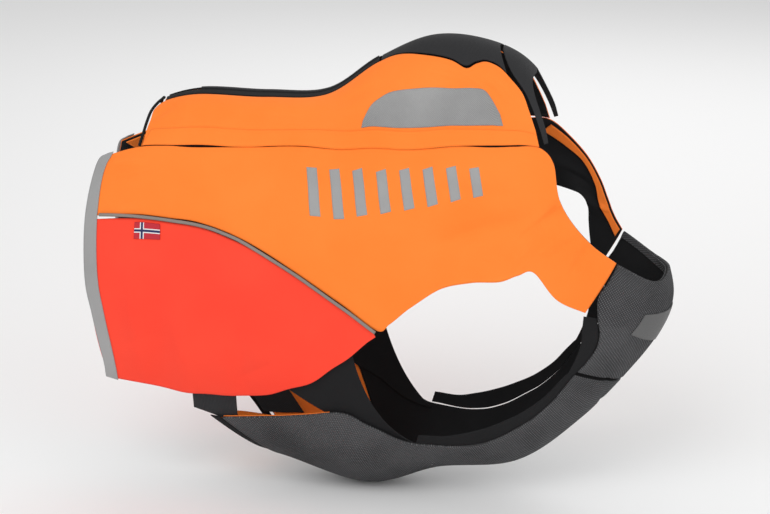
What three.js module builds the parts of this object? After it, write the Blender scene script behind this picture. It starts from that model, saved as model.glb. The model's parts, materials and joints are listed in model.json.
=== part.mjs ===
// Dog hunting vest: a zipped body vest of shell cloth over a dark lining, with a knitted chest and
// belly, filled out to the hollow shape that it has on a dog.
// Millimetres. +X is towards the dog's head, +Y the dog's left, +Z up.
// The origin is where the withers carry the vest: the inner face of the back, on the spine seam.

import * as THREE from 'three';

// Driving sizes -------------------------------------------------------------------------------

const SHELL = 1.2;            // outer cloth
const LINING = 1.0;           // dark lining under it
const KNIT = 2.5;             // chest and belly knit
const TRIM = 1.0;             // bands, tape, patches and label on top of the shell
const GAP = 0.3;              // air between two layers of one piece
const EASE = 1.2;             // air under a trim, or over a piece tucked inside
const PIPING_RADIUS = 1.7;
const REAR_EDGE_RADIUS = 1.5;
const COIL_HALF_TURN = 1.9;   // degrees of the barrel that half of the zip coil covers
const COIL_HEIGHT = 2.4;
const FACING = 1.0;           // turned-in strip along an edge
const SMALL_STEP = 1e-3;

// Heights of the layers over the barrel surface, as [inner face, outer face].
const LAYER = {
  shell: [0, SHELL],
  lining: [-GAP - LINING, -GAP],
  knit: [0, KNIT],
  tucked: [-GAP - LINING - EASE - SHELL, -GAP - LINING - EASE],
  facing: [-2 * GAP - LINING - FACING, -2 * GAP - LINING],
  trim: [SHELL + EASE, SHELL + EASE + TRIM],
  knitTrim: [KNIT + EASE, KNIT + EASE + TRIM],
  coil: [0, COIL_HEIGHT],
};

function table(columns, rows) {
  const names = columns.split(' ');
  return rows.map((row) => Object.fromEntries(names.map((name, i) => [name, row[i] ?? 0])));
}

// The barrel: the shape the vest is filled out to ----------------------------------------------
// Each station is one slanting ring round the body, from the spine down to the breastbone.

const STATIONS = table('spineX spineZ bellyX bellyZ halfWidth', [
  [-222, -48, -205, -346, 58],
  [-174, -20, -128, -349, 72],
  [-126, -4, -48, -363, 82],
  [-58, -4, 39, -387, 86],
  [0, 0, 108, -367, 84],
  [48, 32, 184, -356, 76],
  [97, 54, 243, -310, 68],
  [145, 52, 290, -255, 63],
  [184, 34, 315, -217, 60],
  [206, -4, 325, -185, 57],
  [216, -50, 319, -152, 54],
]);
const FULLNESS = 0.08;        // how much squarer than an ellipse a ring is

// The largest folds: soft ridges (height above 0) and troughs, each along a straight line.
const FOLDS = table('fromStation fromTurn toStation toTurn width height', [
  [0.62, -70, 0.5, -118, 13, 3],
  [1.3, -88, 1.1, -128, 15, 3.5],
  [2.1, -92, 1.9, -124, 12, -2.5],
  [0.7, 66, 0.6, 120, 14, 3],
  [1.7, 80, 1.6, 128, 14, 3.5],
  [2.6, 84, 2.4, 116, 11, -2.5],
  [2.4, -46, 5.2, -60, 14, -2.5],
  [2.2, 48, 4.8, 62, 13, -2.5],
  [5.2, -80, 6.6, -86, 9, -3],
  [6.9, -90, 7.3, -86, 7, -2.5],
  [6.2, 66, 7.4, 86, 6, -3],
  [7.1, 88, 7.6, 104, 5, -3],
]);

// A smooth curve through one column of a table, at row number t.
function along(rows, column, t) {
  const last = rows.length - 1;
  const i = Math.min(Math.max(Math.floor(t), 0), last - 1);
  const value = (k) => {
    if (k < 0) return 2 * rows[0][column] - rows[1][column];
    if (k > last) return 2 * rows[last][column] - rows[last - 1][column];
    return rows[k][column];
  };
  const [before, from, to, after] = [value(i - 1), value(i), value(i + 1), value(i + 2)];
  const f = t - i;
  const slope = to - before;
  const bend = 2 * before - 5 * from + 4 * to - after;
  const twist = 3 * from - before - 3 * to + after;
  return from + 0.5 * (slope * f + bend * f * f + twist * f * f * f);
}

// A point of the barrel. The turn is in degrees round from the spine: 0 to 180 over the dog's left
// side to the breastbone, and the same with a minus sign, or from 360 down, over its right side.
function barrel(station, turn) {
  const angle = THREE.MathUtils.degToRad(turn);
  const ring = (column) => along(STATIONS, column, station);
  const share = (1 + Math.cos(angle)) / 2;
  const across = Math.sin(angle) * (1 + FULLNESS * Math.cos(angle) ** 2);
  return new THREE.Vector3(
    ring('bellyX') + (ring('spineX') - ring('bellyX')) * share,
    ring('halfWidth') * across,
    ring('bellyZ') + (ring('spineZ') - ring('bellyZ')) * share,
  );
}

function outward(station, turn) {
  const here = barrel(station, turn);
  const forward = barrel(station + SMALL_STEP, turn).sub(here);
  const round = barrel(station, turn + SMALL_STEP).sub(here);
  return forward.cross(round).normalize();
}

// How far the largest folds lift the cloth at a point.
function foldLift(station, turn, point) {
  const signed = turn > 180 ? turn - 360 : turn;
  let lift = 0;
  for (const fold of FOLDS) {
    const line = [fold.toStation - fold.fromStation, (fold.toTurn - fold.fromTurn) / 20];
    const here = [station - fold.fromStation, (signed - fold.fromTurn) / 20];
    const length = line[0] ** 2 + line[1] ** 2;
    const share = THREE.MathUtils.clamp((here[0] * line[0] + here[1] * line[1]) / length, 0, 1);
    const nearest = barrel(
      fold.fromStation + (fold.toStation - fold.fromStation) * share,
      fold.fromTurn + (fold.toTurn - fold.fromTurn) * share,
    );
    const ends = Math.sin(Math.PI * (0.15 + 0.7 * share));
    lift += fold.height * ends * Math.exp(-((point.distanceTo(nearest) / fold.width) ** 2));
  }
  return lift;
}

// A point of a layer that lies at a height over the barrel.
function skin(station, turn, height) {
  const point = barrel(station, turn);
  const lift = foldLift(station, turn, point);
  return point.addScaledVector(outward(station, turn), height + lift);
}

// Pieces of cloth ------------------------------------------------------------------------------
// A piece is a wall over a patch. A patch turns u, along the piece, and v, across it, into
// a station and a turn.

// Rows run from an upper to a lower edge. bow moves the middle of a row along the body.
function sidePatch(rows, side) {
  return (u, v) => {
    const t = u * (rows.length - 1);
    const edge = (column) => along(rows, column, t);
    const bow = 4 * v * (1 - v) * edge('bow');
    const station = edge('topStation') * (1 - v) + edge('lowStation') * v + bow;
    const turn = edge('topTurn') * (1 - v) + edge('lowTurn') * v;
    return [station, side * turn];
  };
}

// Rows cross the breastbone from one side's edge to the other's.
function bellyPatch(rows) {
  return (u, v) => {
    const t = u * (rows.length - 1);
    const side = 2 * v - 1;
    const mid = along(rows, 'midStation', t);
    const station = mid + (along(rows, 'edgeStation', t) - mid) * side * side;
    return [station, 180 + (180 - along(rows, 'edgeTurn', t)) * side];
  };
}

// Rows cross the spine from one side's edge to the other's.
function spinePatch(rows) {
  return (u, v) => {
    const t = u * (rows.length - 1);
    const side = 2 * v - 1;
    const mid = along(rows, 'midStation', t);
    const station = mid + (along(rows, 'edgeStation', t) - mid) * side * side;
    return [station, along(rows, 'edgeTurn', t) * side];
  };
}

// The closed wall over a patch, between two heights.
function wall(patch, [inner, outer], columns, rows) {
  const points = [];
  const triangles = [];
  const stride = rows + 1;
  const sheet = (columns + 1) * stride;
  for (const height of [inner, outer]) {
    for (let i = 0; i <= columns; i += 1) {
      for (let j = 0; j <= rows; j += 1) {
        const [station, turn] = patch(i / columns, j / rows);
        points.push(...skin(station, turn, height).toArray());
      }
    }
  }
  const quad = (a, b, c, d) => triangles.push(a, b, c, a, c, d);
  for (let i = 0; i < columns; i += 1) {
    for (let j = 0; j < rows; j += 1) {
      const a = i * stride + j;
      quad(a, a + 1, a + stride + 1, a + stride);
      quad(sheet + a, sheet + a + stride, sheet + a + stride + 1, sheet + a + 1);
    }
  }
  const rim = [];
  for (let i = 0; i < columns; i += 1) rim.push(i * stride);
  for (let j = 0; j < rows; j += 1) rim.push(columns * stride + j);
  for (let i = columns; i > 0; i -= 1) rim.push(i * stride + rows);
  for (let j = rows; j > 0; j -= 1) rim.push(j);
  rim.forEach((a, k) => {
    const b = rim[(k + 1) % rim.length];
    quad(a, b, b + sheet, a + sheet);
  });
  return closedGeometry(points, triangles);
}

// Turns every face outwards, whichever way the patch ran.
function closedGeometry(points, triangles) {
  const corner = (k) => new THREE.Vector3().fromArray(points, 3 * triangles[k]);
  let volume = 0;
  for (let k = 0; k < triangles.length; k += 3) {
    volume += corner(k).dot(corner(k + 1).cross(corner(k + 2)));
  }
  if (volume < 0) triangles.reverse();
  const geometry = new THREE.BufferGeometry();
  geometry.setAttribute('position', new THREE.Float32BufferAttribute(points, 3));
  geometry.setIndex(triangles);
  geometry.computeVertexNormals();
  return geometry;
}

// A round cord sewn along a line of [station, turn] points.
function cord(line, height, radius, steps) {
  const middle = line.map(([station, turn]) => skin(station, turn, height));
  const section = new THREE.Shape().absarc(0, 0, radius, 0, 2 * Math.PI);
  return new THREE.ExtrudeGeometry(section, {
    extrudePath: new THREE.CatmullRomCurve3(middle),
    steps,
    curveSegments: 3,
    bevelEnabled: false,
  });
}

// Finishes -------------------------------------------------------------------------------------

function finish(color, roughness, metalness = 0) {
  return new THREE.MeshStandardMaterial({ color, roughness, metalness });
}
const ORANGE = finish(0xff7e28, 0.75);
const RED = finish(0xf0402c, 0.75);
const BLACK = finish(0x1c1c1e, 0.85);
const REFLECTIVE = finish(0x969696, 0.5);
const MESH_CLOTH = finish(0x9a9a9a, 0.7);
const GREY_CORD = finish(0x7d7873, 0.7);
const KNITTED = finish(0x4a4a4c, 0.95);
const ELASTIC = finish(0x262628, 0.85);
const FLAG_CLOTH = finish(0xc8202e, 0.7);

const vest = new THREE.Group();

function add(name, geometry, material, parent = vest) {
  const mesh = new THREE.Mesh(geometry, material);
  mesh.name = name;
  parent.add(mesh);
  return mesh;
}

const SIDES = [{ name: 'right', sign: -1 }, { name: 'left', sign: 1 }];
const SIDE_COLUMNS = 'topStation topTurn lowStation lowTurn bow';

// Back panels, from the zip down to the long seam on the flank ----------------------------------

const BACK_PANEL = table(SIDE_COLUMNS, [
  [1.16, 21, 1.02, 34.2],
  [1.22, 14, 1.15, 35.2],
  [1.4, 9.5, 1.4, 36.5],
  [1.7, 9, 1.75, 38.2],
  [2.4, 9.5, 2.4, 38.2],
  [3.1, 9, 3.1, 36.2],
  [3.85, 8.5, 3.75, 36.8],
  [4.6, 9, 4.45, 43],
  [5.05, 9, 4.8, 47.4],
  [5.35, 11, 5.1, 50.4],
  [5.85, 20, 5.5, 54.2],
  [6.3, 26, 5.95, 57.8],
  [6.53, 30.5, 6.2, 59.4],
  [6.76, 27.5, 6.42, 60.4],
  [6.98, 25.5, 6.65, 61.2],
  [7.23, 27.5, 6.9, 62],
  [7.41, 33, 7.1, 62.4],
  [7.58, 40, 7.25, 62.8],
  [7.57, 49, 7.36, 63],
  [7.53, 57, 7.45, 63.2],
]);

const SEAM_BAND = table(SIDE_COLUMNS, [
  [1.2, 28, 1.0, 35],
  [1.77, 31, 1.7, 38.7],
  [2.43, 31, 2.4, 38.9],
  [3.1, 30, 3.1, 37],
  [3.84, 30.5, 3.7, 37.6],
  [4.5, 38, 4.4, 43.8],
  [5.14, 46, 5.0, 50.8],
  [5.55, 50, 5.45, 55],
  [6.17, 54.4, 6.0, 58.9],
  [6.76, 57, 6.62, 62],
  [7.22, 58, 7.12, 63.2],
  [7.5, 59, 7.44, 64],
]);

const MESH_PATCH = table(SIDE_COLUMNS, [
  [4.6, 35.5, 4.55, 37.7],
  [4.77, 32, 4.72, 39.5],
  [4.93, 31, 4.9, 42],
  [5.18, 31, 5.15, 45],
  [5.63, 35, 5.6, 49.4],
  [6.14, 39, 6.12, 52.9],
  [6.5, 40, 6.45, 54.4],
  [6.72, 41, 6.65, 55],
  [6.81, 44.5, 6.75, 55.4],
  [6.87, 51, 6.84, 55.6],
]);

for (const { name, sign } of SIDES) {
  add(`back_panel_${name}`, wall(sidePatch(BACK_PANEL, sign), LAYER.shell, 20, 3), ORANGE);
  add(`back_lining_${name}`, wall(sidePatch(BACK_PANEL, sign), LAYER.lining, 20, 3), BLACK);
  add(`seam_band_${name}`, wall(sidePatch(SEAM_BAND, sign), LAYER.trim, 22, 1), ORANGE);
  add(`mesh_patch_${name}`, wall(sidePatch(MESH_PATCH, sign), LAYER.trim, 9, 2), MESH_CLOTH);
}

// Side panels, each running forward into its shoulder strap --------------------------------------

const SIDE_PANEL = table(SIDE_COLUMNS, [
  [0.17, 31.5, -0.1, 57.4, -0.02],
  [0.99, 35.4, 0.86, 62.5],
  [1.5, 38.2, 1.4, 65.1],
  [2.08, 40.2, 1.88, 66.6],
  [2.9, 37.6, 2.52, 70.6],
  [3.66, 37.6, 3.05, 77.5],
  [4.45, 44.2, 3.58, 87.4],
  [5.06, 51.2, 3.97, 97],
  [5.52, 55.6, 4.17, 96],
  [5.98, 58.9, 4.51, 93],
  [6.46, 62, 4.99, 91],
  [6.91, 63.4, 5.42, 93.4],
  [7.45, 64.4, 5.82, 97.6],
  [7.62, 70.4, 6.11, 98.8],
  [7.34, 85, 6.35, 100.6],
  [7.55, 100, 6.5, 111.6],
  [8.03, 112.6, 6.82, 121.6],
]);

// The left strap is gathered narrower, so its armhole comes further forward.
const LEFT_SIDE_PANEL = [...SIDE_PANEL.slice(0, 8), ...table(SIDE_COLUMNS, [
  [5.52, 55.6, 4.17, 94.5],
  [5.98, 58.9, 4.65, 90],
  [6.46, 62, 5.35, 86.5],
  [6.91, 63.4, 6.1, 85.5],
  [7.45, 64.4, 6.7, 87],
  [7.8, 71, 7.05, 90.5],
  [8.1, 80, 7.33, 94],
  [8.14, 90, 7.36, 98.5],
  [8.05, 98, 7.2, 104],
  [7.98, 106, 7.06, 110],
  [8.02, 112.6, 6.86, 120.8],
])];

// Its neck edge is turned in, so that a strip of the outer cloth shows on the inside.
const TURNED_EDGE = table(SIDE_COLUMNS, [
  [7.43, 66, 7.15, 68.5],
  [7.76, 72, 7.5, 74.5],
  [8.05, 80.6, 7.85, 82],
  [8.08, 90, 7.86, 91.5],
  [7.99, 98, 7.7, 99],
  [7.92, 106, 7.72, 107],
  [7.96, 112, 7.72, 113.4],
]);

const SIDE_ROWS = { right: SIDE_PANEL, left: LEFT_SIDE_PANEL };

for (const { name, sign } of SIDES) {
  const patch = sidePatch(SIDE_ROWS[name], sign);
  add(`side_panel_${name}`, wall(patch, LAYER.shell, 24, 4), ORANGE);
  add(`side_lining_${name}`, wall(patch, LAYER.lining, 24, 4), BLACK);
}
add('strap_turned_edge_left', wall(sidePatch(TURNED_EDGE, 1), LAYER.tucked, 12, 1), ORANGE);

// The left panel's rear top corner is folded in.
const FOLDED_CORNER = table(SIDE_COLUMNS, [
  [0.24, 32.4, 0.36, 39],
  [0.6, 34.2, 0.62, 41],
  [0.96, 36.4, 0.9, 42.5],
]);
add('folded_corner_left', wall(sidePatch(FOLDED_CORNER, 1), LAYER.tucked, 4, 1), ORANGE);

// Flank panels, piping and the tape round the rear hem -------------------------------------------

const FLANK_PANEL = table(SIDE_COLUMNS, [
  [-0.1, 58.8, 0.01, 123.5, -0.1],
  [0.86, 64, 0.54, 126, -0.02],
  [1.4, 66.6, 1.03, 128],
  [1.88, 68.2, 1.45, 127],
  [2.2, 70, 1.85, 125],
  [2.52, 72.2, 2.22, 121],
  [2.8, 75.4, 2.55, 115],
  [3.05, 79, 2.83, 111],
  [3.32, 83.8, 3.15, 106],
  [3.58, 89.2, 3.47, 103],
  [3.78, 93.8, 3.76, 100],
  [3.91, 97, 3.92, 98.8],
]);

const PIPING_LINE = [
  [0.14, 58.4], [0.86, 63.2], [1.4, 65.8], [1.88, 67.4], [2.2, 69],
  [2.52, 71.4], [3.05, 78.2], [3.58, 88.3], [3.94, 97.3],
];

const HEM_TAPE = table(SIDE_COLUMNS, [
  [0.3, 31, 0.42, 31.8],
  [0.12, 32, 0.3, 37],
  [-0.03, 43, 0.2, 42.5],
  [-0.15, 57.6, 0.09, 57.6],
  [-0.2, 73, 0.03, 73],
  [-0.2, 85, 0.02, 85],
  [-0.14, 95, 0.06, 95],
  [-0.08, 107, 0.11, 108],
  [-0.04, 116, 0.13, 117],
  [-0.04, 123, 0.13, 124.5],
]);

for (const { name, sign } of SIDES) {
  const flank = sidePatch(FLANK_PANEL, sign);
  add(`flank_panel_${name}`, wall(flank, LAYER.shell, 14, 4), RED);
  add(`flank_lining_${name}`, wall(flank, LAYER.lining, 14, 4), BLACK);
  const line = PIPING_LINE.map(([station, turn]) => [station, sign * turn]);
  const height = SHELL + EASE + PIPING_RADIUS;
  add(`piping_${name}`, cord(line, height, PIPING_RADIUS, 18), GREY_CORD);
  add(`hem_tape_${name}`, wall(sidePatch(HEM_TAPE, sign), LAYER.trim, 16, 1), REFLECTIVE);
}

// The flag label hangs from the right piping.
const FLAG_LABEL = table(SIDE_COLUMNS, [
  [0.78, 64.9, 0.74, 70.6],
  [1.0, 65.9, 0.96, 71.4],
  [1.22, 66.9, 1.18, 72],
]);
add('flag_label', wall(sidePatch(FLAG_LABEL, -1), LAYER.trim, 3, 1), FLAG_CLOTH);

// Zip along the spine, the black panel over the withers and the neck edge -------------------------

const REAR_EDGE_LINE = [
  [0.94, 34.5], [1.02, 28], [1.08, 21], [1.14, 14], [1.23, 7.5], [1.3, 3], [1.32, 0],
];

const ZIP_TAPE = table(SIDE_COLUMNS, [
  [1.42, 2.6, 1.44, 8.2],
  [1.75, 2.6, 1.75, 8],
  [2.4, 2.6, 2.4, 8.4],
  [3.1, 2.6, 3.1, 8],
  [3.85, 2.6, 3.85, 7.5],
  [4.6, 2.6, 4.6, 8],
  [5.02, 2.6, 5.02, 8],
]);

const WITHERS_PANEL = table('edgeStation edgeTurn midStation', [
  [5.07, 8.2, 5.07],
  [5.35, 9.8, 5.35],
  [5.85, 18.6, 5.85],
  [6.3, 24.6, 6.3],
  [6.53, 29, 6.53],
  [6.76, 26, 6.76],
  [6.98, 24, 6.98],
  [7.22, 25.6, 7.22],
  [7.36, 30, 7.36],
]);

// Half of the collar, from the spine to the strap.
const NECK_COLLAR = table(SIDE_COLUMNS, [
  [7.43, 0, 8.35, 0],
  [7.43, 13, 8.25, 13],
  [7.5, 28, 8.05, 27],
  [7.67, 38, 7.96, 37.4],
  [7.7, 46, 7.92, 45.4],
  [7.67, 55, 7.86, 54.4],
  [7.6, 62.8, 7.74, 61.8],
]);

const rearEdge = [
  ...REAR_EDGE_LINE,
  ...REAR_EDGE_LINE.slice(0, -1).reverse().map(([station, turn]) => [station, -turn]),
];
add('rear_edge', cord(rearEdge, SHELL / 2, REAR_EDGE_RADIUS, 20), BLACK);
for (const { name, sign } of SIDES) {
  add(`zip_tape_${name}`, wall(sidePatch(ZIP_TAPE, sign), LAYER.shell, 12, 1), BLACK);
}
const COIL = table('edgeStation edgeTurn midStation', [
  [2.06, COIL_HALF_TURN, 2.06],
  [3.5, COIL_HALF_TURN, 3.5],
  [5.0, COIL_HALF_TURN, 5.0],
]);
add('zip_coil', wall(spinePatch(COIL), LAYER.coil, 18, 2), BLACK);
add('withers_panel', wall(spinePatch(WITHERS_PANEL), LAYER.shell, 10, 6), BLACK);
const otherHalf = NECK_COLLAR.slice(1).reverse().map((row) => (
  { ...row, topTurn: -row.topTurn, lowTurn: -row.lowTurn }
));
const collar = sidePatch([...otherHalf, ...NECK_COLLAR], 1);
add('neck_collar', wall(collar, LAYER.shell, 16, 3), BLACK);

// Knitted chest and belly --------------------------------------------------------------------------

const BELLY_COLUMNS = 'edgeStation edgeTurn midStation';

const BELLY_PANEL = table(BELLY_COLUMNS, [
  [1.5, 139, 2.05],
  [2.1, 132, 2.4],
  [2.6, 124.5, 2.8],
  [2.95, 120.8, 3.15],
  [3.19, 121.4, 3.35],
  [3.38, 126, 3.5],
  [3.55, 130.4, 3.65],
  [3.74, 136.6, 3.85],
  [3.93, 141.2, 4.03],
  [4.31, 144.8, 4.4],
  [4.61, 145.4, 4.7],
  [4.92, 144.4, 5.0],
  [5.21, 143.6, 5.3],
  [5.49, 143.8, 5.6],
  [5.82, 143, 5.95],
  [6.1, 140.6, 6.3],
  [6.26, 139.4, 6.72],
]);

const CHEST_PANEL = table(BELLY_COLUMNS, [
  [6.33, 139.2, 6.8],
  [6.5, 138.8, 7.1],
  [6.71, 137, 7.4],
  [6.87, 133, 7.7],
  [6.97, 127, 8.0],
  [7.16, 120.4, 8.4],
  [7.5, 117.8, 8.85],
  [7.85, 115.2, 9.35],
  [8.04, 113.7, 9.75],
]);

const CHEST_PATCH = table(BELLY_COLUMNS, [
  [7.39, 145, 7.75],
  [7.7, 144, 8.25],
  [7.99, 143, 8.75],
]);

const BELLY_EDGE = table(BELLY_COLUMNS, [
  [1.33, 139.6, 1.88],
  [1.45, 139.3, 2.0],
]);

// A tab of the belly facing reaches back on the left, behind the elastic straps.
const BELLY_TAB = table(SIDE_COLUMNS, [
  [1.12, 161, 1.2, 168],
  [1.34, 157.5, 1.42, 169],
  [1.58, 156.4, 1.68, 170],
  [1.78, 156, 1.94, 171],
]);

const FACED_ROWS = 3;         // rows of the belly panel whose inside is faced with orange cloth

// The same patch cut at one of its own rows, so that both parts share the full patch's surface.
function cut(patch, from, to) {
  return (u, v) => patch(from + (to - from) * u, v);
}

const belly = bellyPatch(BELLY_PANEL);
const chest = bellyPatch(CHEST_PANEL);
const BELLY_STEPS = 16;
const facedShare = FACED_ROWS / BELLY_STEPS;
const liningStart = facedShare + 0.002;
add('belly_panel', wall(belly, LAYER.knit, BELLY_STEPS, 10), KNITTED);
add('belly_facing', wall(cut(belly, 0, facedShare), LAYER.lining, FACED_ROWS, 10), ORANGE);
add('belly_lining', wall(cut(belly, liningStart, 1), LAYER.lining, BELLY_STEPS - FACED_ROWS, 10), BLACK);
add('belly_rear_edge', wall(bellyPatch(BELLY_EDGE), LAYER.shell, 1, 12), BLACK);
add('chest_panel', wall(chest, LAYER.knit, 9, 10), KNITTED);
add('chest_lining', wall(chest, LAYER.lining, 9, 10), BLACK);
add('chest_facing', wall(cut(chest, 8 / 9, 1), LAYER.facing, 1, 10), KNITTED);
add('belly_tab_left', wall(sidePatch(BELLY_TAB, 1), LAYER.lining, 4, 2), ORANGE);
add('chest_patch', wall(bellyPatch(CHEST_PATCH), LAYER.knitTrim, 2, 8), REFLECTIVE);

// Armhole bindings, gussets behind the armholes and elastic straps ---------------------------------

// The binding follows the knit's edge; reach is how far it stands out into the armhole.
const BINDING_REACH = table('station turn', [
  [0.08, -4.2],
  [0, -5.8],
  [-0.03, -7],
  [-0.05, -6.8],
  [-0.06, -6],
  [-0.04, -5.4],
  [-0.05, -4.4],
  [-0.09, -3.2],
  [-0.1, -2.6],
  [-0.11, -2.6],
  [-0.13, -4.6],
  [-0.18, -6],
  [-0.22, -6.6],
  [-0.2, -4.6],
]);
const BINDING_CLEARANCE = 0.08;   // share of the reach left free next to the knit

const armholeEdge = [...BELLY_PANEL.slice(8), ...CHEST_PANEL.slice(0, 5)];
const ARMHOLE_BINDING = armholeEdge.map((row, i) => ({
  topStation: row.edgeStation + BINDING_REACH[i].station,
  topTurn: row.edgeTurn + BINDING_REACH[i].turn,
  lowStation: row.edgeStation + BINDING_CLEARANCE * BINDING_REACH[i].station,
  lowTurn: row.edgeTurn + BINDING_CLEARANCE * BINDING_REACH[i].turn,
  bow: 0,
}));

const GUSSET = table(SIDE_COLUMNS, [
  [2.42, 115, 2.98, 123],
  [2.62, 111, 3.12, 125],
  [2.85, 107.5, 3.27, 128],
  [3.08, 104, 3.44, 133],
  [3.26, 101.5, 3.62, 138],
  [3.42, 100.2, 3.8, 142, -0.08],
  [3.52, 99.4, 3.94, 144, -0.16],
]);

const ELASTIC_STRAP = {
  right: table(SIDE_COLUMNS, [
    [1.22, 120, 1.1, 138],
    [1.53, 119, 1.4, 141],
    [1.84, 117, 1.64, 144],
  ]),
  left: table(SIDE_COLUMNS, [
    [1.15, 120, 1.7, 155],
    [1.4, 119, 1.95, 153],
    [1.65, 118, 2.2, 150],
  ]),
};

for (const { name, sign } of SIDES) {
  const binding = sidePatch(ARMHOLE_BINDING, sign);
  add(`armhole_binding_${name}`, wall(binding, LAYER.shell, 20, 1), BLACK);
  add(`gusset_${name}`, wall(sidePatch(GUSSET, sign), LAYER.tucked, 8, 5), BLACK);
  add(`elastic_strap_${name}`, wall(sidePatch(ELASTIC_STRAP[name], sign), LAYER.tucked, 4, 4), ELASTIC);
}

export default vest;
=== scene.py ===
# %% [markdown]
# # A dog hunting vest
# The vest keeps the filled-out shape that it has on a dog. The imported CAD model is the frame:
# it gives every piece's place, so each cloth piece is laid over the same barrel shape. Plain
# mesh code is chosen over a cloth simulation, because the cut is known and must be kept.

# %% The frame
import json
import math
import bmesh
import bpy
import numpy as np
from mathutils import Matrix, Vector

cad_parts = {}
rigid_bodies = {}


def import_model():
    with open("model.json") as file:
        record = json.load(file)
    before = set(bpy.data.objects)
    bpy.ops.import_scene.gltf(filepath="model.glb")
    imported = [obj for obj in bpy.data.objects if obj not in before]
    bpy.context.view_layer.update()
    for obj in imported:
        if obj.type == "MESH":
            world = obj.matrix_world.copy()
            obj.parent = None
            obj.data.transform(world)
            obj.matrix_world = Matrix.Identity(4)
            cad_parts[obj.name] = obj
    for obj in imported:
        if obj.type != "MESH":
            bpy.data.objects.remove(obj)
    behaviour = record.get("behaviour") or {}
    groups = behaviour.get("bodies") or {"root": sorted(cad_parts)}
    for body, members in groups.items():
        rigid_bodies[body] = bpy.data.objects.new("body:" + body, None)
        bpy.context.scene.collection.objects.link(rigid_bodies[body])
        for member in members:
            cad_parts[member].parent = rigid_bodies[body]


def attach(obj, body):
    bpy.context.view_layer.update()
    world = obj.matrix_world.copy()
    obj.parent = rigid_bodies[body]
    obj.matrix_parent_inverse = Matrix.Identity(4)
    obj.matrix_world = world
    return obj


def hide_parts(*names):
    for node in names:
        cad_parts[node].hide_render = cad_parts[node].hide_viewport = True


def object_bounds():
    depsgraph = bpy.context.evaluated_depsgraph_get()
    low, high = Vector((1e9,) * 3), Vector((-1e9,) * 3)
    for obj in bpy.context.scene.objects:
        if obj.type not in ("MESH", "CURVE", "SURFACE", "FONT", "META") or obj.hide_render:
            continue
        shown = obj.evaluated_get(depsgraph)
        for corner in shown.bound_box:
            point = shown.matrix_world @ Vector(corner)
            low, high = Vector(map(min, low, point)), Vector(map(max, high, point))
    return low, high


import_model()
cad_box = [list(corner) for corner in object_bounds()]
print("CAD box in metres:", cad_box)

# %% [markdown]
# ## The barrel
# Each station is one slanting ring round the body, from the spine down to the breastbone. Every
# piece of cloth is cut out of this surface, so neighbours meet in clean seams.

# %% Tables and smooth curves
MM = 0.001


def table(columns, rows):
    names = columns.split()
    padded = [list(row) + [0.0] * (len(names) - len(row)) for row in rows]
    return {name: np.array(column, float) for name, column in zip(names, zip(*padded))}


def stack(first, count, second):
    return {name: np.concatenate([first[name][:count], second[name]]) for name in first}


def along(values, t):
    """A smooth curve through the values, at row number t."""
    last = len(values) - 1
    i = np.clip(np.floor(t).astype(int), 0, last - 1)
    ends = [2 * values[0] - values[1], 2 * values[-1] - values[-2]]
    reach = np.concatenate([ends[:1], values, ends[1:]])
    before, start, end, after = (reach[i + k] for k in range(4))
    f = t - i
    slope = end - before
    bend = 2 * before - 5 * start + 4 * end - after
    twist = 3 * start - before - 3 * end + after
    return start + 0.5 * (slope * f + bend * f**2 + twist * f**3)


STATIONS = table("spine_x spine_z belly_x belly_z half_width", [
    [-222, -48, -205, -346, 58],
    [-174, -20, -128, -349, 72],
    [-126, -4, -48, -363, 82],
    [-58, -4, 39, -387, 86],
    [0, 0, 108, -367, 84],
    [48, 32, 184, -356, 76],
    [97, 54, 243, -310, 68],
    [145, 52, 290, -255, 63],
    [184, 34, 315, -217, 60],
    [206, -4, 325, -185, 57],
    [216, -50, 319, -152, 54],
])
FULLNESS = 0.08


def barrel(station, turn):
    """Points on the barrel, in millimetres. turn is in degrees round from the spine."""
    angle = np.radians(turn)
    ring = {name: along(STATIONS[name], station) for name in STATIONS}
    share = (1 + np.cos(angle)) / 2
    across = np.sin(angle) * (1 + FULLNESS * np.cos(angle) ** 2)
    return np.stack([
        ring["belly_x"] + (ring["spine_x"] - ring["belly_x"]) * share,
        ring["half_width"] * across,
        ring["belly_z"] + (ring["spine_z"] - ring["belly_z"]) * share,
    ], axis=-1)


def outward(station, turn, step=1e-3):
    here = barrel(station, turn)
    forward = barrel(station + step, turn) - here
    sideways = barrel(station, turn + step) - here
    normal = np.cross(forward, sideways)
    return normal / np.linalg.norm(normal, axis=-1, keepdims=True)


print("stations along the body:", len(STATIONS["spine_x"]))
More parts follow.
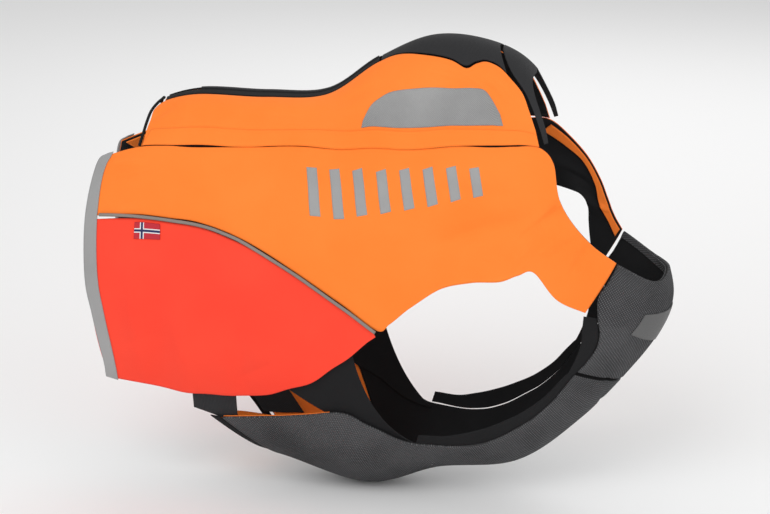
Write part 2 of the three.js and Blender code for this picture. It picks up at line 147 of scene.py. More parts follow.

# %% [markdown]
# ## Folds and creases
# Large folds follow the CAD model. Small creases are placed one by one, uneven in length, depth and
# spacing, where the cloth is gathered, stitched or bent.

# %% Folds and creases
FOLDS = table("from_station from_turn to_station to_turn width height", [
    [0.62, -70, 0.5, -118, 13, 3],
    [1.3, -88, 1.1, -128, 15, 3.5],
    [2.1, -92, 1.9, -124, 12, -2.5],
    [0.7, 66, 0.6, 120, 14, 3],
    [1.7, 80, 1.6, 128, 14, 3.5],
    [2.6, 84, 2.4, 116, 11, -2.5],
    [2.4, -46, 5.2, -60, 14, -2.5],
    [2.2, 48, 4.8, 62, 13, -2.5],
    [5.2, -80, 6.6, -86, 9, -3],
    [6.9, -90, 7.3, -86, 7, -2.5],
    [6.2, 66, 7.4, 86, 6, -3],
    [7.1, 88, 7.6, 104, 5, -3],
])
CREASES = table("from_station from_turn to_station to_turn width height", [
    [6.32, -90, 6.68, -89, 3.5, -1.6],
    [6.68, -89, 7.31, -86, 3, -2.2],
    [6.93, -107, 7.12, -105, 3, -1.8],
    [7.12, -105, 7.54, -101, 3, -1.8],
    [6.6, -97, 7.4, -95, 4, 1.4],
    [6.1, -95, 6.5, -93, 4, 1.2],
    [5.3, -66, 6.5, -78, 7, -1.2],
    [4.2, -60, 5.6, -66, 8, 1.0],
    [0.2, -36, 0.9, -42, 5, 1.5],
    [0.3, -44, 1.1, -47, 5, -1.4],
    [1.2, -22, 1.6, -16, 5, -1.3],
    [1.6, -30, 2.6, -28, 6, 1.0],
    [3.0, -22, 3.9, -24, 6, -1.0],
    [4.3, -20, 5.0, -26, 6, -1.2],
    [5.9, -30, 6.5, -38, 4, -1.2],
    [6.6, -36, 6.9, -44, 4, 1.2],
    [6.9, -36, 7.2, -48, 4, -1.2],
    [0.4, -60, 0.8, -60, 4, 1.0],
    [0.2, -78, 0.9, -80, 6, 1.0],
    [0.3, -108, 0.9, -104, 6, -1.2],
    [1.9, -118, 2.4, -108, 5, -1.2],
    [6.2, 88, 6.9, 90, 4, -1.8],
    [7.2, 84, 7.7, 92, 3, 2.0],
    [7.4, 98, 7.9, 103, 3, -2.2],
    [7.0, 92, 7.5, 96, 3, -1.6],
    [5.2, 66, 6.4, 76, 7, -1.2],
    [0.2, 40, 1.0, 46, 5, 1.4],
    [0.3, 84, 0.9, 80, 6, -1.1],
    [1.9, 118, 2.5, 106, 5, -1.2],
    [3.0, 20, 3.9, 24, 6, -1.0],
    [6.28, 180, 6.7, 152, 4, -1.6],
    [6.28, 180, 6.7, 208, 4, -1.6],
    [4.3, 168, 4.5, 150, 5, -1.2],
    [5.4, 172, 5.7, 152, 5, 1.2],
    [7.2, 196, 7.5, 222, 5, -1.0],
])
TURN_PER_STATION = 20         # degrees round the body that are about as long as one station
FADE_START, FADE_SPAN = 0.15, 0.7   # a fold dies away towards its two ends


def lift(folds, station, turn, points):
    """How far a table of folds lifts the cloth at each point."""
    total = np.zeros(station.shape)
    for row in zip(*folds.values()):
        from_station, from_turn, to_station, to_turn, width, height = row
        wrapped = np.where(turn > 180, turn - 360, turn) if from_turn < 0 else turn
        line = np.array([to_station - from_station, (to_turn - from_turn) / TURN_PER_STATION])
        here = [station - from_station, (wrapped - from_turn) / TURN_PER_STATION]
        share = np.clip((here[0] * line[0] + here[1] * line[1]) / (line @ line), 0, 1)
        nearest = barrel(from_station + (to_station - from_station) * share,
                         from_turn + (to_turn - from_turn) * share)
        ends = np.sin(np.pi * (FADE_START + FADE_SPAN * share))
        distance = np.linalg.norm(points - nearest, axis=-1)
        total += height * ends * np.exp(-((distance / width) ** 2))
    return total


def skin(station, turn, height):
    """Points of a layer at a height over the barrel, in millimetres."""
    points = barrel(station, turn)
    folds = lift(FOLDS, station, turn, points) + lift(CREASES, station, turn, points)
    return points + outward(station, turn) * (height + folds)[..., None]


print("folds and creases:", len(FOLDS["width"]) + len(CREASES["width"]))


# %% [markdown]
# ## Patches
# A patch turns u, along a piece, and v, across it, into a station and a turn. It is the paper
# pattern of the piece, and the walls are raised from it.

# %% Patches
def side_patch(rows, side):
    def patch(u, v):
        t = u * (len(rows["bow"]) - 1)
        edge = {name: along(rows[name], t) for name in rows}
        station = edge["top_station"] * (1 - v) + edge["low_station"] * v
        station = station + 4 * v * (1 - v) * edge["bow"]
        turn = edge["top_turn"] * (1 - v) + edge["low_turn"] * v
        return station, side * turn
    return patch


def belly_patch(rows):
    def patch(u, v):
        t = u * (len(rows["mid_station"]) - 1)
        side = 2 * v - 1
        mid = along(rows["mid_station"], t)
        station = mid + (along(rows["edge_station"], t) - mid) * side**2
        return station, 180 + (180 - along(rows["edge_turn"], t)) * side
    return patch


def spine_patch(rows):
    def patch(u, v):
        t = u * (len(rows["mid_station"]) - 1)
        side = 2 * v - 1
        mid = along(rows["mid_station"], t)
        station = mid + (along(rows["edge_station"], t) - mid) * side**2
        return station, along(rows["edge_turn"], t) * side
    return patch


def part_of(patch, start, end):
    return lambda u, v: patch(start + (end - start) * u, v)


SIDES = {"right": -1, "left": 1}
pieces = []

# %% [markdown]
# ## From a patch to a closed shell
# Each piece of cloth is two layers of points with a rim between them, so that it has its real
# thickness and closed edges. Its UV map is in metres of cloth, so a weave keeps its scale.

# %% From a patch to a closed shell


def cloth(name, patch, heights, steps, material, replaced):
    """A closed shell of cloth over a patch, with its UV map in metres of cloth."""
    inner, outer = heights
    u, v = np.meshgrid(np.linspace(0, 1, steps[0] + 1), np.linspace(0, 1, steps[1] + 1),
                       indexing="ij")
    station, turn = patch(u, v)
    low = skin(station, turn, inner) * MM
    high = skin(station, turn, outer) * MM
    columns, rows = u.shape
    count = columns * rows
    index = np.arange(count).reshape(columns, rows)
    quads = np.stack([index[:-1, :-1], index[:-1, 1:], index[1:, 1:], index[1:, :-1]], axis=-1)
    quads = quads.reshape(-1, 4)
    rim = np.concatenate([index[:-1, 0], index[-1, :-1], index[::-1, -1][:-1], index[0, ::-1][:-1]])
    after = np.roll(rim, -1)
    walls = np.stack([rim, after, after + count, rim + count], axis=-1)
    faces = np.concatenate([quads, quads[:, ::-1] + count, walls])
    points = np.concatenate([low.reshape(-1, 3), high.reshape(-1, 3)])
    middle = points.mean(axis=0)
    a, b, c = (points[faces[:, k]] for k in (0, 1, 2))
    d = points[faces[:, 3]]
    volume = np.einsum("ij,ij->i", a - middle, np.cross(b - middle, c - middle)).sum()
    volume += np.einsum("ij,ij->i", a - middle, np.cross(c - middle, d - middle)).sum()
    if volume < 0:
        faces = faces[:, ::-1]
    mesh = bpy.data.meshes.new(name)
    mesh.from_pydata(points.tolist(), [], faces.tolist())
    lengths = np.zeros(u.shape)
    lengths[1:] = np.cumsum(np.linalg.norm(np.diff(high, axis=0), axis=-1), axis=0)
    widths = np.zeros(u.shape)
    widths[:, 1:] = np.cumsum(np.linalg.norm(np.diff(high, axis=1), axis=-1), axis=1)
    along_cloth = lengths.mean(axis=1, keepdims=True) + 0 * lengths
    across_cloth = widths - widths.mean(axis=1, keepdims=True)
    flat = np.tile(np.stack([along_cloth, across_cloth], axis=-1).reshape(-1, 2), (2, 1))
    layer = mesh.uv_layers.new(name="cloth")
    loop_points = np.empty(len(mesh.loops), dtype=np.int32)
    mesh.loops.foreach_get("vertex_index", loop_points)
    layer.data.foreach_set("uv", flat[loop_points].ravel())
    mesh.shade_smooth()
    piece = bpy.data.objects.new(name, mesh)
    bpy.context.scene.collection.objects.link(piece)
    piece.data.materials.append(material)
    finished(piece, replaced)


def finished(piece, replaced):
    """Rides the body and stands for its CAD nodes, which are hidden."""
    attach(piece, "root")
    if replaced:
        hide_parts(*replaced)
    pieces.append(piece.name)


# %% [markdown]
# ## Finishes
# Woven shell cloth is a fine crossing of threads with slow changes of tone. The pattern follows
# each piece's own UV map, in metres, so that it bends with the cloth. Two crossed waves are
# simpler than an image and stay sharp at any distance.

# %% Finishes
def linear(colour):
    return [c / 12.92 if c <= 0.04045 else ((c + 0.055) / 1.055) ** 2.4
            for c in (value / 255 for value in colour)] + [1.0]


THREADS_PER_WAVE_SCALE = 0.314   # wave scale times thread size, in metres
TONE_SCALE = 14.0
TONE_LOW, TONE_HIGH = 0.3, 0.7


def fabric(name, colour, second, thread, bump, roughness, diagonal=0.0, second_share=0.5):
    """A woven, knitted or ribbed finish. thread is the size of one thread in metres."""
    material = bpy.data.materials.new(name)
    material.use_nodes = True
    nodes = material.node_tree.nodes
    links = material.node_tree.links
    shader = nodes["Principled BSDF"]
    shader.inputs["Roughness"].default_value = roughness
    shader.inputs["Specular IOR Level"].default_value = 0.25
    uv = nodes.new("ShaderNodeUVMap")
    uv.uv_map = "cloth"
    mapping = nodes.new("ShaderNodeMapping")
    mapping.inputs["Rotation"].default_value = (0, 0, diagonal)
    links.new(uv.outputs["UV"], mapping.inputs["Vector"])
    waves = []
    for direction in ("X", "Y"):
        wave = nodes.new("ShaderNodeTexWave")
        wave.bands_direction = direction
        wave.inputs["Scale"].default_value = THREADS_PER_WAVE_SCALE / thread
        wave.inputs["Distortion"].default_value = 1.0
        wave.inputs["Detail"].default_value = 1.0
        links.new(mapping.outputs["Vector"], wave.inputs["Vector"])
        waves.append(wave)
    weave = nodes.new("ShaderNodeMath")
    weave.operation = "MULTIPLY"
    links.new(waves[0].outputs["Fac"], weave.inputs[0])
    links.new(waves[1].outputs["Fac"], weave.inputs[1])
    position = nodes.new("ShaderNodeTexCoord")
    noise = nodes.new("ShaderNodeTexNoise")
    noise.inputs["Scale"].default_value = TONE_SCALE
    noise.inputs["Detail"].default_value = 5.0
    links.new(position.outputs["Object"], noise.inputs["Vector"])
    tone = nodes.new("ShaderNodeMix")
    tone.data_type = "RGBA"
    tone.inputs["A"].default_value = linear(colour)
    tone.inputs["B"].default_value = linear(second)
    blend = nodes.new("ShaderNodeMapRange")
    blend.inputs["From Min"].default_value = TONE_LOW
    blend.inputs["From Max"].default_value = TONE_HIGH
    blend.inputs["To Max"].default_value = second_share
    links.new(noise.outputs["Fac"], blend.inputs["Value"])
    links.new(blend.outputs["Result"], tone.inputs["Factor"])
    threads = nodes.new("ShaderNodeMix")
    threads.data_type = "RGBA"
    links.new(tone.outputs["Result"], threads.inputs["A"])
    threads.inputs["B"].default_value = linear(second)
    links.new(weave.outputs["Value"], threads.inputs["Factor"])
    links.new(threads.outputs["Result"], shader.inputs["Base Color"])
    relief = nodes.new("ShaderNodeBump")
    relief.inputs["Strength"].default_value = bump
    relief.inputs["Distance"].default_value = thread * 0.5
    links.new(weave.outputs["Value"], relief.inputs["Height"])
    links.new(relief.outputs["Normal"], shader.inputs["Normal"])
    return material


orange = fabric("orange_shell", (255, 122, 36), (255, 140, 56), 0.0007, 0.25, 0.72)
red = fabric("red_shell", (252, 62, 42), (255, 78, 54), 0.0007, 0.25, 0.72)
black = fabric("black_lining", (16, 16, 17), (30, 30, 32), 0.0008, 0.3, 0.85)
withers = fabric("withers_cloth", (34, 34, 35), (50, 50, 52), 0.0012, 0.5, 0.8)
reflective = fabric("reflective_tape", (140, 140, 140), (170, 170, 170), 0.0009, 0.3, 0.45)
mesh_cloth = fabric("mesh_cloth", (118, 118, 118), (178, 178, 178), 0.0011, 0.6, 0.6, 0.7)
grey_piping = fabric("piping_cloth", (122, 116, 110), (150, 144, 138), 0.0008, 0.4, 0.6)
knit = fabric("ribbed_knit", (36, 36, 38), (118, 118, 120), 0.0022, 1.0, 0.95, 0.0, 0.35)
chest_knit = fabric("chest_knit", (36, 36, 38), (118, 118, 120), 0.002, 1.0, 0.95, 0.6, 0.35)
elastic = fabric("ribbed_elastic", (26, 26, 28), (60, 60, 62), 0.0015, 0.8, 0.85)
patch_grey = fabric("chest_patch_grey", (86, 86, 86), (104, 104, 104), 0.001, 0.3, 0.5)
print("finishes:", len(bpy.data.materials))

# %% [markdown]
# ## Back, side and flank
# The back panels meet at the zip, the side panels run forward into the shoulder straps, and the
# red flanks hang below a grey piping.

# %% Heights of the layers, and the cut shapes of the shell
# Each is the inner and the outer face, in millimetres over the barrel.
SHELL = (0.0, 1.2)
LINING = (-1.3, -0.3)
TUCKED = (-3.7, -2.5)
FACING = (-2.6, -1.6)
KNIT = (0.0, 2.5)
BAND = (1.25, 1.9)
TAPE = (1.3, 2.1)
LABEL = (1.5, 2.4)
PRINT = (1.24, 1.34)
KNIT_PATCH = (2.6, 3.2)
COIL_HEIGHTS = (0.0, 2.4)

BACK_PANEL = table("top_station top_turn low_station low_turn bow", [
    [1.16, 21, 1.02, 34.2],
    [1.22, 14, 1.15, 35.2],
    [1.4, 9.5, 1.4, 36.5],
    [1.7, 9, 1.75, 38.2],
    [2.4, 9.5, 2.4, 38.2],
    [3.1, 9, 3.1, 36.2],
    [3.85, 8.5, 3.75, 36.8],
    [4.6, 9, 4.45, 43],
    [5.05, 9, 4.8, 47.4],
    [5.35, 11, 5.1, 50.4],
    [5.85, 20, 5.5, 54.2],
    [6.3, 26, 5.95, 57.8],
    [6.53, 30.5, 6.2, 59.4],
    [6.76, 27.5, 6.42, 60.4],
    [6.98, 25.5, 6.65, 61.2],
    [7.23, 27.5, 6.9, 62],
    [7.41, 33, 7.1, 62.4],
    [7.58, 40, 7.25, 62.8],
    [7.57, 49, 7.36, 63],
    [7.53, 57, 7.45, 63.2],
])
SEAM_BAND = table("top_station top_turn low_station low_turn bow", [
    [1.2, 28, 1.0, 35],
    [1.77, 31, 1.7, 38.7],
    [2.43, 31, 2.4, 38.9],
    [3.1, 30, 3.1, 37],
    [3.84, 30.5, 3.7, 37.6],
    [4.5, 38, 4.4, 43.8],
    [5.14, 46, 5.0, 50.8],
    [5.55, 50, 5.45, 55],
    [6.17, 54.4, 6.0, 58.9],
    [6.76, 57, 6.62, 62],
    [7.22, 58, 7.12, 63.2],
    [7.5, 59, 7.44, 64],
])
MESH_PATCH = table("top_station top_turn low_station low_turn bow", [
    [4.6, 35.5, 4.55, 37.7],
    [4.77, 32, 4.72, 39.5],
    [4.93, 31, 4.9, 42],
    [5.18, 31, 5.15, 45],
    [5.63, 35, 5.6, 49.4],
    [6.14, 39, 6.12, 52.9],
    [6.5, 40, 6.45, 54.4],
    [6.72, 41, 6.65, 55],
    [6.81, 44.5, 6.75, 55.4],
    [6.87, 51, 6.84, 55.6],
])
SIDE_PANEL = table("top_station top_turn low_station low_turn bow", [
    [0.17, 31.5, -0.1, 57.4, -0.02],
    [0.99, 35.4, 0.86, 62.5],
    [1.5, 38.2, 1.4, 65.1],
    [2.08, 40.2, 1.88, 66.6],
    [2.9, 37.6, 2.52, 70.6],
    [3.66, 37.6, 3.05, 77.5],
    [4.45, 44.2, 3.58, 87.4],
    [5.06, 51.2, 3.97, 97],
    [5.52, 55.6, 4.17, 96],
    [5.98, 58.9, 4.51, 93],
    [6.46, 62, 4.99, 91],
    [6.91, 63.4, 5.42, 93.4],
    [7.45, 64.4, 5.82, 97.6],
    [7.62, 70.4, 6.11, 98.8],
    [7.34, 85, 6.35, 100.6],
    [7.55, 100, 6.5, 111.6],
    [8.03, 112.6, 6.82, 121.6],
])
LEFT_SIDE_PANEL = stack(SIDE_PANEL, 8, table("top_station top_turn low_station low_turn bow", [
    [5.52, 55.6, 4.17, 94.5],
    [5.98, 58.9, 4.65, 90],
    [6.46, 62, 5.35, 86.5],
    [6.91, 63.4, 6.1, 85.5],
    [7.45, 64.4, 6.7, 87],
    [7.8, 71, 7.05, 90.5],
    [8.1, 80, 7.33, 94],
    [8.14, 90, 7.36, 98.5],
    [8.05, 98, 7.2, 104],
    [7.98, 106, 7.06, 110],
    [8.02, 112.6, 6.86, 120.8],
]))
TURNED_EDGE = table("top_station top_turn low_station low_turn bow", [
    [7.43, 66, 7.15, 68.5],
    [7.76, 72, 7.5, 74.5],
    [8.05, 80.6, 7.85, 82],
    [8.08, 90, 7.86, 91.5],
    [7.99, 98, 7.7, 99],
    [7.92, 106, 7.72, 107],
    [7.96, 112, 7.72, 113.4],
])
FOLDED_CORNER = table("top_station top_turn low_station low_turn bow", [
    [0.24, 32.4, 0.36, 39],
    [0.6, 34.2, 0.62, 41],
    [0.96, 36.4, 0.9, 42.5],
])
FLANK_PANEL = table("top_station top_turn low_station low_turn bow", [
    [-0.1, 58.8, 0.01, 123.5, -0.1],
    [0.86, 64, 0.54, 126, -0.02],
    [1.4, 66.6, 1.03, 128],
    [1.88, 68.2, 1.45, 127],
    [2.2, 70, 1.85, 125],
    [2.52, 72.2, 2.22, 121],
    [2.8, 75.4, 2.55, 115],
    [3.05, 79, 2.83, 111],
    [3.32, 83.8, 3.15, 106],
    [3.58, 89.2, 3.47, 103],
    [3.78, 93.8, 3.76, 100],
    [3.91, 97, 3.92, 98.8],
])
PIPING_LINE = [
    [0.14, 58.4], [0.86, 63.2], [1.4, 65.8], [1.88, 67.4], [2.2, 69],
    [2.52, 71.4], [3.05, 78.2], [3.58, 88.3], [3.94, 97.3],
]
HEM_TAPE = table("top_station top_turn low_station low_turn bow", [
    [0.3, 31, 0.42, 31.8],
    [0.12, 32, 0.3, 37],
    [-0.03, 43, 0.2, 42.5],
    [-0.15, 57.6, 0.09, 57.6],
    [-0.2, 73, 0.03, 73],
    [-0.2, 85, 0.02, 85],
    [-0.14, 95, 0.06, 95],
    [-0.08, 107, 0.11, 108],
    [-0.04, 116, 0.13, 117],
    [-0.04, 123, 0.13, 124.5],
])
FLAG_LABEL = table("top_station top_turn low_station low_turn bow", [
    [0.78, 64.9, 0.74, 70.6],
    [1.0, 65.9, 0.96, 71.4],
    [1.22, 66.9, 1.18, 72],
])

# %% Shell pieces
SIDE_ROWS = {"right": SIDE_PANEL, "left": LEFT_SIDE_PANEL}
for name, sign in SIDES.items():
    back = side_patch(BACK_PANEL, sign)
    side = side_patch(SIDE_ROWS[name], sign)
    flank = side_patch(FLANK_PANEL, sign)
    for label, patch, heights, steps, material in (
        ("back_panel", back, SHELL, (220, 40), orange),
        ("back_lining", back, LINING, (110, 20), black),
        ("seam_band", side_patch(SEAM_BAND, sign), BAND, (220, 8), orange),
        ("mesh_patch", side_patch(MESH_PATCH, sign), BAND, (90, 24), mesh_cloth),
        ("side_panel", side, SHELL, (260, 70), orange),
        ("side_lining", side, LINING, (130, 36), black),
        ("flank_panel", flank, SHELL, (150, 70), red),
        ("flank_lining", flank, LINING, (80, 36), black),
        ("hem_tape", side_patch(HEM_TAPE, sign), TAPE, (160, 8), reflective),
    ):
        cloth(f"{label}_{name}_cloth", patch, heights, steps, material, [f"{label}_{name}"])
cloth("strap_turned_edge_cloth", side_patch(TURNED_EDGE, 1), TUCKED, (90, 8), orange,
      ["strap_turned_edge_left"])
cloth("folded_corner_cloth", side_patch(FOLDED_CORNER, 1), TUCKED, (30, 8), orange,
      ["folded_corner_left"])
print("shell pieces:", len(pieces))

# %% [markdown]
# ## Round cords
# The piping and the rear edge are narrow tubes of cloth sewn along a line. A ring of points is
# carried along the line, which keeps the tube round and gives it a UV map of its own.

# %% Round cords
REAR_EDGE_LINE = [
    [0.94, 34.5], [1.02, 28], [1.08, 21], [1.14, 14], [1.23, 7.5], [1.3, 3], [1.32, 0],
]


def tube(name, line, height, radius, material, replaced, steps=160, around=10):
    """A closed tube along a smooth line of station and turn points."""
    rows = np.array(line, float)
    t = np.linspace(0, len(rows) - 1, steps + 1)
    station, turn = along(rows[:, 0], t), along(rows[:, 1], t)
    middle = skin(station, turn, np.full(t.shape, height))
    tangent = np.gradient(middle, axis=0)
    tangent /= np.linalg.norm(tangent, axis=-1, keepdims=True)
    up = outward(station, turn)
    across = np.cross(tangent, up)
    across /= np.linalg.norm(across, axis=-1, keepdims=True)
    up = np.cross(across, tangent)
    angles = np.linspace(0, 2 * np.pi, around, endpoint=False)
    rings = (middle[:, None] + radius * (np.cos(angles)[None, :, None] * across[:, None]
                                         + np.sin(angles)[None, :, None] * up[:, None])) * MM
    points = rings.reshape(-1, 3)
    faces = [[i * around + k, i * around + (k + 1) % around,
              (i + 1) * around + (k + 1) % around, (i + 1) * around + k]
             for i in range(steps) for k in range(around)]
    faces.append(list(range(around))[::-1])
    faces.append([steps * around + k for k in range(around)])
    mesh = bpy.data.meshes.new(name)
    mesh.from_pydata(points.tolist(), [], faces)
    layer = mesh.uv_layers.new(name="cloth")
    travelled = np.concatenate([[0], np.cumsum(np.linalg.norm(np.diff(middle, axis=0), axis=-1))])
    for loop in mesh.loops:
        ring, k = divmod(loop.vertex_index, around)
        layer.data[loop.index].uv = (travelled[ring] * MM, k * 2 * math.pi * radius * MM / around)
    mesh.shade_smooth()
    piece = bpy.data.objects.new(name, mesh)
    bpy.context.scene.collection.objects.link(piece)
    piece.data.materials.append(material)
    turn_out(piece)
    finished(piece, replaced)
    print(f"{name}: {travelled[-1]:.0f} mm long")


def turn_out(piece):
    """Turns a closed mesh's faces outwards."""
    shape = bmesh.new()
    shape.from_mesh(piece.data)
    bmesh.ops.recalc_face_normals(shape, faces=shape.faces)
    shape.to_mesh(piece.data)
    shape.free()


PIPING_RADIUS = 1.6
REAR_EDGE_RADIUS = 1.4
for name, sign in SIDES.items():
    tube(f"piping_{name}_cloth", [[s, sign * t] for s, t in PIPING_LINE],
         SHELL[1] + PIPING_RADIUS, PIPING_RADIUS, grey_piping, [f"piping_{name}"])
rear = REAR_EDGE_LINE + [[s, -t] for s, t in REAR_EDGE_LINE[-2::-1]]
tube("rear_edge_cloth", rear, SHELL[1] / 2, REAR_EDGE_RADIUS, black, ["rear_edge"])

# %% [markdown]
# ## Label
# A small woven flag hangs from the right piping: a red field with a navy cross edged in white.
# The cross is drawn in the finish with plain comparisons, because it is woven in, not raised.

# %% Label
WHITE_HALF_WIDTH, NAVY_HALF_WIDTH = 0.0021, 0.0011   # metres
CROSS_PLACE = 0.008           # metres from the hoist


def flag_finish():
    material = bpy.data.materials.new("woven_flag")
    material.use_nodes = True
    nodes, links = material.node_tree.nodes, material.node_tree.links
    shader = nodes["Principled BSDF"]
    shader.inputs["Roughness"].default_value = 0.7
    uv = nodes.new("ShaderNodeUVMap")
    uv.uv_map = "cloth"
    split = nodes.new("ShaderNodeSeparateXYZ")
    links.new(uv.outputs["UV"], split.inputs["Vector"])
    colour = None
    red_field, white, navy = (linear(c) for c in ((186, 30, 46), (225, 225, 225), (22, 32, 84)))
    for half_width, tint in ((WHITE_HALF_WIDTH, white), (NAVY_HALF_WIDTH, navy)):
        for axis, centre in (("X", CROSS_PLACE), ("Y", 0.0)):
            offset = nodes.new("ShaderNodeMath")
            offset.operation = "SUBTRACT"
            offset.inputs[1].default_value = centre
            links.new(split.outputs[axis], offset.inputs[0])
            size = nodes.new("ShaderNodeMath")
            size.operation = "ABSOLUTE"
            links.new(offset.outputs[0], size.inputs[0])
            inside = nodes.new("ShaderNodeMath")
            inside.operation = "LESS_THAN"
            inside.inputs[1].default_value = half_width
            links.new(size.outputs[0], inside.inputs[0])
            paint = nodes.new("ShaderNodeMix")
            paint.data_type = "RGBA"
            links.new(inside.outputs[0], paint.inputs["Factor"])
            if colour is None:
                paint.inputs["A"].default_value = red_field
            else:
                links.new(colour, paint.inputs["A"])
            paint.inputs["B"].default_value = tint
            colour = paint.outputs["Result"]
    links.new(colour, shader.inputs["Base Color"])
    return material


cloth("flag_label_cloth", side_patch(FLAG_LABEL, -1), LABEL, (40, 24), flag_finish(),
      ["flag_label"])

# %% [markdown]
# ## Zip, withers panel and collar
# The zip runs along the spine, and a black panel covers the withers up to the neck. The collar
# is one strip across the spine, so its half is mirrored in the table instead of joined later.

# %% Zip, withers panel and collar
ZIP_TAPE = table("top_station top_turn low_station low_turn bow", [
    [1.42, 2.6, 1.44, 8.2],
    [1.75, 2.6, 1.75, 8],
    [2.4, 2.6, 2.4, 8.4],
    [3.1, 2.6, 3.1, 8],
    [3.85, 2.6, 3.85, 7.5],
    [4.6, 2.6, 4.6, 8],
    [5.02, 2.6, 5.02, 8],
])
WITHERS_PANEL = table("edge_station edge_turn mid_station", [
    [5.07, 8.2, 5.07],
    [5.35, 9.8, 5.35],
    [5.85, 18.6, 5.85],
    [6.3, 24.6, 6.3],
    [6.53, 29, 6.53],
    [6.76, 26, 6.76],
    [6.98, 24, 6.98],
    [7.22, 25.6, 7.22],
    [7.36, 30, 7.36],
])
NECK_COLLAR = table("top_station top_turn low_station low_turn bow", [
    [7.43, 0, 8.35, 0],
    [7.43, 13, 8.25, 13],
    [7.5, 28, 8.05, 27],
    [7.67, 38, 7.96, 37.4],
    [7.7, 46, 7.92, 45.4],
    [7.67, 55, 7.86, 54.4],
    [7.6, 62.8, 7.74, 61.8],
])
COIL = table("edge_station edge_turn mid_station", [[2.06, 1.9, 2.06], [3.5, 1.9, 3.5], [5, 1.9, 5]])
for name, sign in SIDES.items():
    cloth(f"zip_tape_{name}_cloth", side_patch(ZIP_TAPE, sign), SHELL, (160, 10), black,
          [f"zip_tape_{name}"])
cloth("zip_coil_strip", spine_patch(COIL), COIL_HEIGHTS, (160, 8), elastic, ["zip_coil"])
cloth("withers_panel_cloth", spine_patch(WITHERS_PANEL), SHELL, (140, 60), withers,
      ["withers_panel"])
mirrored = {key: (-1 if key.endswith("turn") else 1) * values[:0:-1]
            for key, values in NECK_COLLAR.items()}
collar = {key: np.concatenate([mirrored[key], NECK_COLLAR[key]]) for key in NECK_COLLAR}
cloth("neck_collar_cloth", side_patch(collar, 1), SHELL, (180, 30), withers, ["neck_collar"])

# %% [markdown]
# ## Knitted belly and chest
# Both are thick ribbed knit, faced inside with orange cloth behind the belly and black elsewhere.

# %% Knitted belly and chest
BELLY_PANEL = table("edge_station edge_turn mid_station", [
    [1.5, 139, 2.05],
    [2.1, 132, 2.4],
    [2.6, 124.5, 2.8],
    [2.95, 120.8, 3.15],
    [3.19, 121.4, 3.35],
    [3.38, 126, 3.5],
    [3.55, 130.4, 3.65],
    [3.74, 136.6, 3.85],
    [3.93, 141.2, 4.03],
    [4.31, 144.8, 4.4],
    [4.61, 145.4, 4.7],
    [4.92, 144.4, 5.0],
    [5.21, 143.6, 5.3],
    [5.49, 143.8, 5.6],
    [5.82, 143, 5.95],
    [6.1, 140.6, 6.3],
    [6.26, 139.4, 6.72],
])
CHEST_PANEL = table("edge_station edge_turn mid_station", [
    [6.33, 139.2, 6.8],
    [6.5, 138.8, 7.1],
    [6.71, 137, 7.4],
    [6.87, 133, 7.7],
    [6.97, 127, 8.0],
    [7.16, 120.4, 8.4],
    [7.5, 117.8, 8.85],
    [7.85, 115.2, 9.35],
    [8.04, 113.7, 9.75],
])
CHEST_PATCH = table("edge_station edge_turn mid_station", [
    [7.39, 145, 7.75],
    [7.7, 144, 8.25],
    [7.99, 143, 8.75],
])
BELLY_EDGE = table("edge_station edge_turn mid_station", [
    [1.33, 139.6, 1.88],
    [1.45, 139.3, 2.0],
])
BELLY_TAB = table("top_station top_turn low_station low_turn bow", [
    [1.12, 161, 1.2, 168],
    [1.34, 157.5, 1.42, 169],
    [1.58, 156.4, 1.68, 170],
    [1.78, 156, 1.94, 171],
])
BINDING_REACH = table("station turn", [
    [0.08, -4.2],
    [0, -5.8],
    [-0.03, -7],
    [-0.05, -6.8],
    [-0.06, -6],
    [-0.04, -5.4],
    [-0.05, -4.4],
    [-0.09, -3.2],
    [-0.1, -2.6],
    [-0.11, -2.6],
    [-0.13, -4.6],
    [-0.18, -6],
    [-0.22, -6.6],
    [-0.2, -4.6],
])
GUSSET = table("top_station top_turn low_station low_turn bow", [
    [2.42, 115, 2.98, 123],
    [2.62, 111, 3.12, 125],
    [2.85, 107.5, 3.27, 128],
    [3.08, 104, 3.44, 133],
    [3.26, 101.5, 3.62, 138],
    [3.42, 100.2, 3.8, 142, -0.08],
    [3.52, 99.4, 3.94, 144, -0.16],
])
RIGHT_ELASTIC = table("top_station top_turn low_station low_turn bow", [
    [1.22, 120, 1.1, 138],
    [1.53, 119, 1.4, 141],
    [1.84, 117, 1.64, 144],
])
LEFT_ELASTIC = table("top_station top_turn low_station low_turn bow", [
    [1.15, 120, 1.7, 155],
    [1.4, 119, 1.95, 153],
    [1.65, 118, 2.2, 150],
])
belly = belly_patch(BELLY_PANEL)
chest = belly_patch(CHEST_PANEL)
FACED_SHARE = 3 / 16          # share of the belly that is faced with orange cloth
SEAM_SHARE = 0.002
TURNED_IN_FROM = 8 / 9        # the knit turns in at the neck rim
for name, patch, heights, steps, material in (
    ("belly_panel", belly, KNIT, (240, 110), knit),
    ("belly_facing", part_of(belly, 0, FACED_SHARE), LINING, (40, 60), orange),
    ("belly_lining", part_of(belly, FACED_SHARE + SEAM_SHARE, 1), LINING, (120, 60), black),
    ("belly_rear_edge", belly_patch(BELLY_EDGE), SHELL, (8, 120), black),
    ("chest_panel", chest, KNIT, (200, 120), chest_knit),
    ("chest_lining", chest, LINING, (100, 60), black),
    ("chest_facing", part_of(chest, TURNED_IN_FROM, 1), FACING, (24, 100), chest_knit),
    ("belly_tab_left", side_patch(BELLY_TAB, 1), LINING, (40, 20), orange),
    ("chest_patch", belly_patch(CHEST_PATCH), KNIT_PATCH, (40, 80), patch_grey),
):
    cloth(f"{name}_cloth", patch, heights, steps, material, [name])

# %% [markdown]
# ## Bindings, gussets and elastic straps
# The binding's rows are worked out from the knit's own edge, so that it follows every change of
# that edge. The gussets and straps are tucked under the panels.

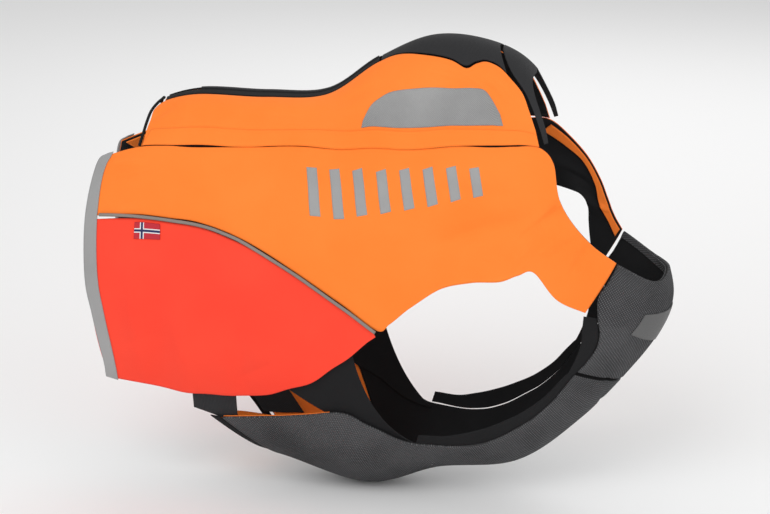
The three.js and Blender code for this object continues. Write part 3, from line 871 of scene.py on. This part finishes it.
# %% Bindings, gussets and elastic straps
CLEARANCE = 0.08              # share of the binding's reach left free next to the knit
BELLY_ROWS_BEFORE, CHEST_ROWS = 8, 5
edge = {key: np.concatenate([BELLY_PANEL[key][BELLY_ROWS_BEFORE:], CHEST_PANEL[key][:CHEST_ROWS]])
        for key in BELLY_PANEL}
binding = {
    "top_station": edge["edge_station"] + BINDING_REACH["station"],
    "top_turn": edge["edge_turn"] + BINDING_REACH["turn"],
    "low_station": edge["edge_station"] + CLEARANCE * BINDING_REACH["station"],
    "low_turn": edge["edge_turn"] + CLEARANCE * BINDING_REACH["turn"],
    "bow": 0 * edge["edge_turn"],
}
ELASTIC_ROWS = {"right": RIGHT_ELASTIC, "left": LEFT_ELASTIC}
for name, sign in SIDES.items():
    cloth(f"armhole_binding_{name}_cloth", side_patch(binding, sign), SHELL, (160, 12), black,
          [f"armhole_binding_{name}"])
    cloth(f"gusset_{name}_cloth", side_patch(GUSSET, sign), TUCKED, (60, 50), black,
          [f"gusset_{name}"])
    cloth(f"elastic_strap_{name}_cloth", side_patch(ELASTIC_ROWS[name], sign), TUCKED, (40, 60),
          elastic, [f"elastic_strap_{name}"])
print("pieces:", len(pieces))

# %% [markdown]
# ## Reflective print
# A generic print of slanted reflective bars lies on the right side panel. Each bar is a thin
# film raised from the panel's own surface.

# %% Reflective print
BARS = table("station turn reach", [
    [3.55, 45, 16], [3.9, 47, 16], [4.25, 50, 14], [4.6, 54, 12],
    [4.95, 57, 11], [5.3, 60, 10], [5.65, 63, 9], [6.0, 66, 8],
])
BAR_WIDTH = 0.16              # stations
BAR_SLANT = -0.1
BAR_RISE = 0.6                # degrees
for number, (station, turn, reach) in enumerate(zip(*BARS.values())):
    bar = table("top_station top_turn low_station low_turn bow", [
        [station, turn, station + BAR_SLANT, turn + reach],
        [station + BAR_WIDTH, turn + BAR_RISE,
         station + BAR_WIDTH + BAR_SLANT, turn + reach + BAR_RISE],
    ])
    cloth(f"print_bar_{number}", side_patch(bar, -1), PRINT, (6, 40), reflective, [])

# %% [markdown]
# ## Floor, light and camera
# A plain pale floor and three large soft lamps light the vest evenly, so that its colours look
# as they are written. The camera looks from the right side, a little from the front and above.

# %% Floor, light and camera
scene = bpy.context.scene
scene.view_settings.view_transform = "Standard"
FLOOR_GAP = 0.002
FLOOR_REACH = 6.0
floor_mesh = bpy.data.meshes.new("floor")
height = cad_box[0][2] - FLOOR_GAP
corners = [(x * FLOOR_REACH, y * FLOOR_REACH, height)
           for x, y in ((-1, -1), (1, -1), (1, 1), (-1, 1))]
floor_mesh.from_pydata(corners, [], [(0, 1, 2, 3)])
floor = bpy.data.objects.new("floor", floor_mesh)
scene.collection.objects.link(floor)
pale = bpy.data.materials.new("pale_floor")
pale.use_nodes = True
shader = pale.node_tree.nodes["Principled BSDF"]
shader.inputs["Base Color"].default_value = (0.9, 0.9, 0.9, 1)
shader.inputs["Roughness"].default_value = 0.9
floor.data.materials.append(pale)

world = bpy.data.worlds.new("studio")
world.use_nodes = True
scene.world = world
background = world.node_tree.nodes["Background"]
background.inputs["Color"].default_value = (1, 1, 1, 1)
background.inputs["Strength"].default_value = 0.65


def lamp(name, place, target, size, power):
    light = bpy.data.lights.new(name, "AREA")
    light.size = size
    light.energy = power
    obj = bpy.data.objects.new(name, light)
    obj.location = place
    obj.rotation_euler = (Vector(target) - Vector(place)).to_track_quat("-Z", "Y").to_euler()
    scene.collection.objects.link(obj)


CENTRE = (0.053, 0.0, -0.161)
lamp("key", (-0.6, -1.8, 1.5), CENTRE, 1.6, 22)
lamp("fill", (1.6, -1.2, 0.6), CENTRE, 1.6, 10)
lamp("back", (0.2, 1.8, 1.2), CENTRE, 1.6, 12)

AZIMUTH, ELEVATION, DISTANCE, LENS = 9, 17, 2.043, 100
azimuth, elevation = math.radians(AZIMUTH), math.radians(ELEVATION)
back_vector = Vector((math.sin(azimuth) * math.cos(elevation),
                      -math.cos(azimuth) * math.cos(elevation), math.sin(elevation)))
camera_data = bpy.data.cameras.new("camera")
camera_data.lens = LENS
camera_data.sensor_width = 36
camera = bpy.data.objects.new("camera", camera_data)
camera.location = Vector(CENTRE) + back_vector * DISTANCE
camera.rotation_euler = (-back_vector).to_track_quat("-Z", "Y").to_euler()
scene.collection.objects.link(camera)
scene.camera = camera

print("lamps:", len(bpy.data.lights), "camera lens:", LENS)
